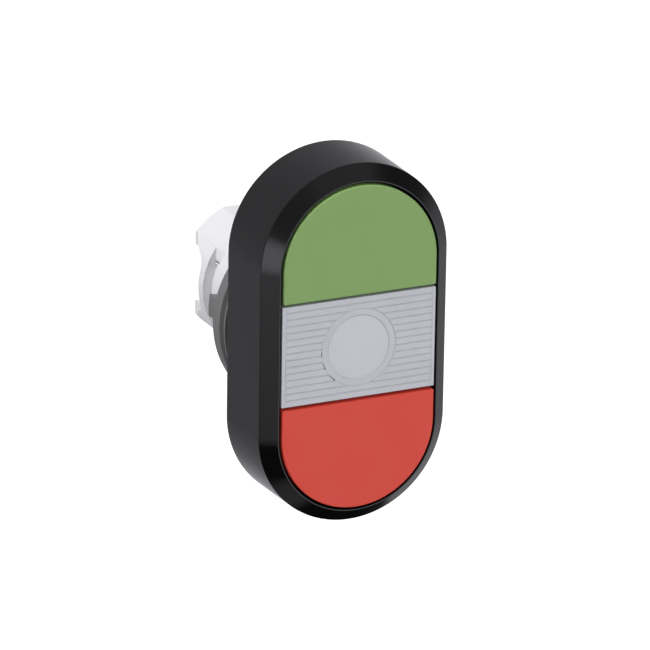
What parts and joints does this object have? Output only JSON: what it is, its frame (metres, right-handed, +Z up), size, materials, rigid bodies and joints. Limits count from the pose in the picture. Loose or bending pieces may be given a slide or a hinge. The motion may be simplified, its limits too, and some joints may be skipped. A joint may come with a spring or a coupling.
{
  "type": "illuminated twin pushbutton operator",
  "caption": "Oval black operator head with a green button above and a red one below a ribbed clear pilot lens, on a panel-mounted white bayonet barrel.",
  "frame": {"origin": "centre of the barrel in the plane where the gasket meets the panel", "axes": "+Z up, +X to the right of someone facing the buttons, +Y from the buttons back along the barrel"},
  "size_m": [0.0296, 0.0388, 0.054],
  "materials": {
    "black_gloss": "moulded, satin to gloss",
    "black_matte": "moulded, matte",
    "seal_rubber": "matte",
    "white_plastic": "moulded, fine matte",
    "grey_plastic": "moulded, matte",
    "clear_lens": "ribbed, translucent",
    "milky_plastic": "satin, milky",
    "light_guide_clear": "clear, polished",
    "green_plastic": "moulded, satin",
    "red_plastic": "moulded, satin",
    "spring_steel": "drawn wire"
  },
  "bodies": {
    "operator": {"bezel": "black_gloss", "base_plate": "black_matte", "panel_gasket": "seal_rubber", "barrel": "white_plastic", "clamp_nut": "grey_plastic", "plunger_guide": "black_matte", "lens": "clear_lens", "diffuser": "milky_plastic", "light_guide": "light_guide_clear", "light_guide_seal": "seal_rubber", "green_boot": "seal_rubber", "red_boot": "seal_rubber", "green_spring_left": "spring_steel", "green_spring_right": "spring_steel", "red_spring_left": "spring_steel", "red_spring_right": "spring_steel"},
    "green_button": {"green_cap": "green_plastic", "green_plunger": "white_plastic"},
    "red_button": {"red_cap": "red_plastic", "red_plunger": "white_plastic"}
  },
  "joints": [
    {"name": "green_press", "type": "slide", "parent": "operator", "child": "green_button", "axis": [0, 1, 0], "range_m": [0, 0.004], "stiffness_N_per_m": 600, "springref_m": -0.004, "deforming": ["green_boot", "green_spring_left", "green_spring_right"]},
    {"name": "red_press", "type": "slide", "parent": "operator", "child": "red_button", "axis": [0, 1, 0], "range_m": [0, 0.004], "stiffness_N_per_m": 600, "springref_m": -0.004, "deforming": ["red_boot", "red_spring_left", "red_spring_right"]}
  ]
}
